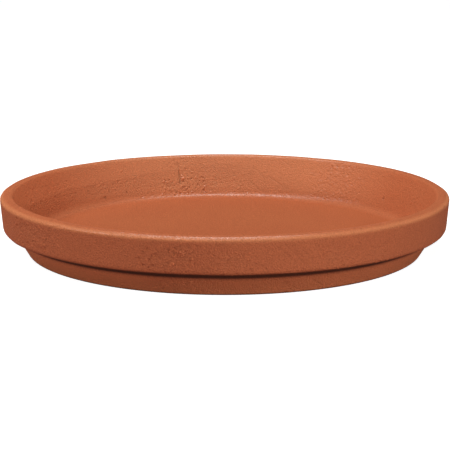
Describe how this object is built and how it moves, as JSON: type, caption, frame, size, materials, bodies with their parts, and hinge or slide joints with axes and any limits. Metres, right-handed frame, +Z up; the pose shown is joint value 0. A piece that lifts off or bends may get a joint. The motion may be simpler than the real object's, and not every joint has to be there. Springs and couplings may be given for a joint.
{
  "type": "plant saucer",
  "caption": "Round terracotta plant saucer: a shallow well with a flat floor, sloping wall, thick collared rim and narrower foot, to catch water under a plant pot.",
  "frame": {"origin": "middle of the face the saucer rests on", "axes": "+Z up along the round axis, out of the well; X and Y are level, and the saucer is the same all the way round"},
  "size_m": [0.3554, 0.3554, 0.0458],
  "materials": {
    "terracotta": "unglazed fired clay, matte, with fine grain, pits and drag marks"
  },
  "bodies": {
    "root": {"saucer": "terracotta"}
  },
  "joints": []
}
